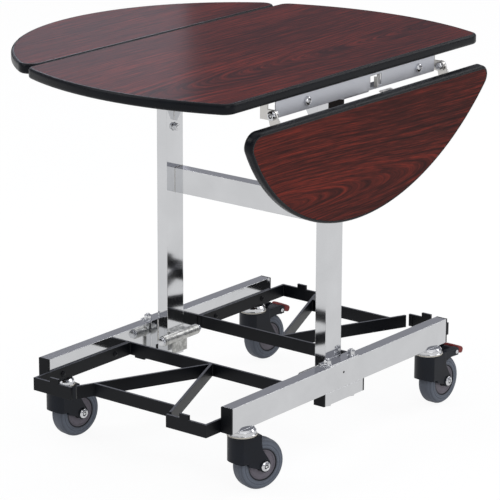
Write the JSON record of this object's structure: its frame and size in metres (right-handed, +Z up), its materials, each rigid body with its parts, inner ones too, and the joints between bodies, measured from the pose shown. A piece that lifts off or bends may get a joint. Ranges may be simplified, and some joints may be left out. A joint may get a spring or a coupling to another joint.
{
  "type": "room service table",
  "caption": "Round drop-leaf serving table on a steel column frame with low racks and swivel casters, left leaf raised and right leaf hanging.",
  "frame": {"origin": "on the floor, under the middle of the table's box with its left leaf raised and its right leaf hanging", "axes": "+X from the left leaf to the right leaf, +Y along the leaf hinges towards the braked casters, +Z up"},
  "size_m": [0.7668, 0.892, 0.762],
  "materials": {
    "laminate": "satin mahogany laminate on a wood core",
    "edging": "satin",
    "chrome": "polished",
    "satin_steel": "satin",
    "black_steel": "satin",
    "black_plastic": "matte",
    "fork_nylon": "satin",
    "red_plastic": "satin",
    "tyre": "matte",
    "hub": "satin"
  },
  "bodies": {
    "frame": {"centre_board": "laminate", "centre_edging": "edging", "left_rail": "satin_steel", "right_rail": "satin_steel", "rail_bolts": "chrome", "left_hinge_brackets": "chrome", "right_hinge_brackets": "chrome", "hinge_pins": "chrome", "latch_pins": "chrome", "left_post": "chrome", "right_post": "chrome", "gussets": "chrome", "yoke": "satin_steel", "yoke_bolts": "chrome", "crossbar": "chrome", "post_bolts": "chrome", "left_runner": "chrome", "right_runner": "chrome", "runner_caps": "black_plastic", "saddles": "chrome", "long_bolts": "chrome", "long_bolt_nuts": "chrome", "spacer_tubes": "chrome", "spacer_caps": "black_plastic", "clamp_barrels": "chrome", "barrel_bolts": "chrome", "front_rack": "black_steel", "back_rack": "black_steel", "rack_bolts": "black_steel", "caster_mounts": "chrome"},
    "left_leaf": {"left_leaf_board": "laminate", "left_leaf_edging": "edging", "left_leaf_arms": "chrome", "left_strike": "chrome"},
    "right_leaf": {"right_leaf_board": "laminate", "right_leaf_edging": "edging", "right_leaf_arms": "chrome", "right_strike": "chrome"},
    "left_latch_flap": {"left_latch": "chrome"},
    "right_latch_flap": {"right_latch": "chrome"},
    "front_left_caster": {"front_left_fork": "fork_nylon", "front_left_axle": "chrome"},
    "front_left_wheel": {"front_left_hub": "hub", "front_left_tyre": "tyre"},
    "front_right_caster": {"front_right_fork": "fork_nylon", "front_right_axle": "chrome"},
    "front_right_wheel": {"front_right_hub": "hub", "front_right_tyre": "tyre"},
    "back_left_caster": {"back_left_fork": "fork_nylon", "back_left_axle": "chrome"},
    "back_left_wheel": {"back_left_hub": "hub", "back_left_tyre": "tyre"},
    "back_right_caster": {"back_right_fork": "fork_nylon", "back_right_axle": "chrome"},
    "back_right_wheel": {"back_right_hub": "hub", "back_right_tyre": "tyre"},
    "back_left_brake": {"back_left_pedal": "fork_nylon", "back_left_pedal_tip": "red_plastic"},
    "back_right_brake": {"back_right_pedal": "fork_nylon", "back_right_pedal_tip": "red_plastic"}
  },
  "joints": [
    {"name": "left_leaf_hinge", "type": "hinge", "parent": "frame", "child": "left_leaf", "pos_m": [-0.13785, 0, 0.719], "axis": [0, -1, 0], "range_deg": [0, 96]},
    {"name": "right_leaf_hinge", "type": "hinge", "parent": "frame", "child": "right_leaf", "pos_m": [0.34215, 0, 0.719], "axis": [0, -1, 0], "range_deg": [0, 99]},
    {"name": "left_latch_hinge", "type": "hinge", "parent": "frame", "child": "left_latch_flap", "pos_m": [-0.12665, 0.0735, 0.726], "axis": [0, 0, 1], "range_deg": [0, 24], "stiffness_Nm_per_rad": 0.1, "springref_deg": -20.05},
    {"name": "right_latch_hinge", "type": "hinge", "parent": "frame", "child": "right_latch_flap", "pos_m": [0.33095, 0.0735, 0.726], "axis": [0, 0, -1], "range_deg": [0, 24], "stiffness_Nm_per_rad": 0.1, "springref_deg": -20.05},
    {"name": "front_left_swivel", "type": "hinge", "parent": "frame", "child": "front_left_caster", "pos_m": [-0.14885, -0.303, 0.1], "axis": [0, 0, 1], "continuous": true},
    {"name": "front_left_spin", "type": "hinge", "parent": "front_left_caster", "child": "front_left_wheel", "pos_m": [-0.14322, -0.26744, 0.05], "axis": [0.9877, -0.1564, 0], "continuous": true},
    {"name": "front_right_swivel", "type": "hinge", "parent": "frame", "child": "front_right_caster", "pos_m": [0.30315, -0.303, 0.1], "axis": [0, 0, 1], "continuous": true},
    {"name": "front_right_spin", "type": "hinge", "parent": "front_right_caster", "child": "front_right_wheel", "pos_m": [0.31427, -0.26876, 0.05], "axis": [0.9511, -0.309, 0], "continuous": true},
    {"name": "back_left_swivel", "type": "hinge", "parent": "frame", "child": "back_left_caster", "pos_m": [-0.14885, 0.303, 0.1], "axis": [0, 0, 1], "continuous": true},
    {"name": "back_left_spin", "type": "hinge", "parent": "back_left_caster", "child": "back_left_wheel", "pos_m": [-0.14509, 0.3388, 0.05], "axis": [0.9945, -0.1045, 0], "continuous": true},
    {"name": "back_left_brake_hinge", "type": "hinge", "parent": "back_left_caster", "child": "back_left_brake", "pos_m": [-0.14185, 0.36963, 0.104], "axis": [-0.9945, 0.1045, 0], "range_deg": [0, 12], "stiffness_Nm_per_rad": 0.3, "springref_deg": -17.19},
    {"name": "back_right_swivel", "type": "hinge", "parent": "frame", "child": "back_right_caster", "pos_m": [0.30315, 0.303, 0.1], "axis": [0, 0, 1], "continuous": true},
    {"name": "back_right_spin", "type": "hinge", "parent": "back_right_caster", "child": "back_right_wheel", "pos_m": [0.30378, 0.33899, 0.05], "axis": [0.9998, -0.0175, 0], "continuous": true},
    {"name": "back_right_brake_hinge", "type": "hinge", "parent": "back_right_caster", "child": "back_right_brake", "pos_m": [0.30432, 0.36999, 0.104], "axis": [-0.9998, 0.0175, 0], "range_deg": [0, 12], "stiffness_Nm_per_rad": 0.3, "springref_deg": -17.19}
  ]
}
